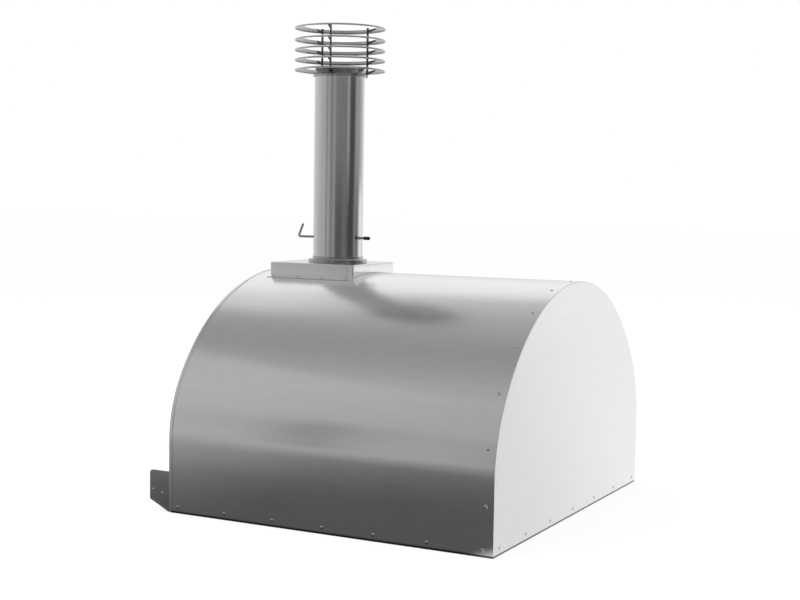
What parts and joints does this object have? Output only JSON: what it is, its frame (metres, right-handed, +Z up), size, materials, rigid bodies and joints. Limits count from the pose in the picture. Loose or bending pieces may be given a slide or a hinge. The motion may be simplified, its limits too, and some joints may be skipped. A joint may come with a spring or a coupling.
{
  "type": "wood-fired oven",
  "caption": "Insulated barrel-vault wood-fired oven with a lift-off door, a front shelf, a damped flue pipe and a ring cowl.",
  "frame": {"origin": "centre of the body's flat underside, which rests on a bench or a stand", "axes": "+Z up, the mouth, door and shelf face -Y, and +X is to the right of someone who stands in front and looks into the mouth"},
  "size_m": [1.1132, 1.0586, 1.3955],
  "materials": {
    "brushed_stainless": "satin",
    "polished_stainless": "polished",
    "heat_tinted_steel": "satin",
    "dark_steel": "satin",
    "fasteners": "satin",
    "firebrick": "matte",
    "insulating_board": "matte",
    "fibre_blanket": "matte",
    "black_cap": "matte",
    "dial_face": "matte",
    "needle_paint": "satin",
    "dial_glass": "gloss"
  },
  "bodies": {
    "oven": {"base_tray": "dark_steel", "hearth_board": "insulating_board", "hearth_tiles": "firebrick", "outer_skin": "brushed_stainless", "rear_panel": "brushed_stainless", "front_fascia": "brushed_stainless", "mouth_trim": "brushed_stainless", "mouth_throat": "heat_tinted_steel", "vault_liner": "heat_tinted_steel", "inner_front_wall": "heat_tinted_steel", "inner_rear_wall": "heat_tinted_steel", "vault_blanket": "fibre_blanket", "front_blanket": "fibre_blanket", "rear_blanket": "fibre_blanket", "shelf_plate": "brushed_stainless", "shelf_apron": "brushed_stainless", "shelf_cheek_left": "brushed_stainless", "shelf_cheek_right": "brushed_stainless", "flue_plinth": "brushed_stainless", "flue_spigot": "heat_tinted_steel", "flue_collar": "polished_stainless", "flue_pipe": "polished_stainless", "damper_bushes": "polished_stainless", "cowl_base": "polished_stainless", "cowl_ring_1": "polished_stainless", "cowl_ring_2": "polished_stainless", "cowl_ring_3": "polished_stainless", "cowl_ring_4": "polished_stainless", "cowl_ring_5": "polished_stainless", "cowl_stays": "dark_steel", "cowl_screws": "fasteners", "side_rivets": "fasteners", "rear_rivets": "fasteners", "arch_rivets": "fasteners", "shelf_rivets": "fasteners", "plinth_rivets": "fasteners", "collar_screws": "fasteners", "trim_screws": "fasteners"},
    "damper": {"damper_spindle": "polished_stainless", "damper_disc": "heat_tinted_steel", "damper_screws": "fasteners", "damper_end_cap": "black_cap"},
    "door": {"door_face": "brushed_stainless", "door_pan": "heat_tinted_steel", "door_insulation": "fibre_blanket", "door_handle": "polished_stainless", "handle_posts": "polished_stainless", "handle_screws": "fasteners", "thermometer_case": "polished_stainless", "thermometer_dial": "dial_face", "thermometer_glass": "dial_glass", "thermometer_stem": "polished_stainless"},
    "needle": {"thermometer_needle": "needle_paint"}
  },
  "joints": [
    {"name": "damper_turn", "type": "hinge", "parent": "oven", "child": "damper", "pos_m": [0, -0.28, 0.763], "axis": [0, 1, 0], "range_deg": [-54.5, 35.5]},
    {"name": "door_lift_off", "type": "slide", "parent": "oven", "child": "door", "axis": [0, -1, 0], "range_m": [0, 0.3]},
    {"name": "needle_turn", "type": "hinge", "parent": "door", "child": "needle", "pos_m": [0, -0.506, 0.286], "axis": [0, 1, 0], "range_deg": [0, 270]}
  ]
}
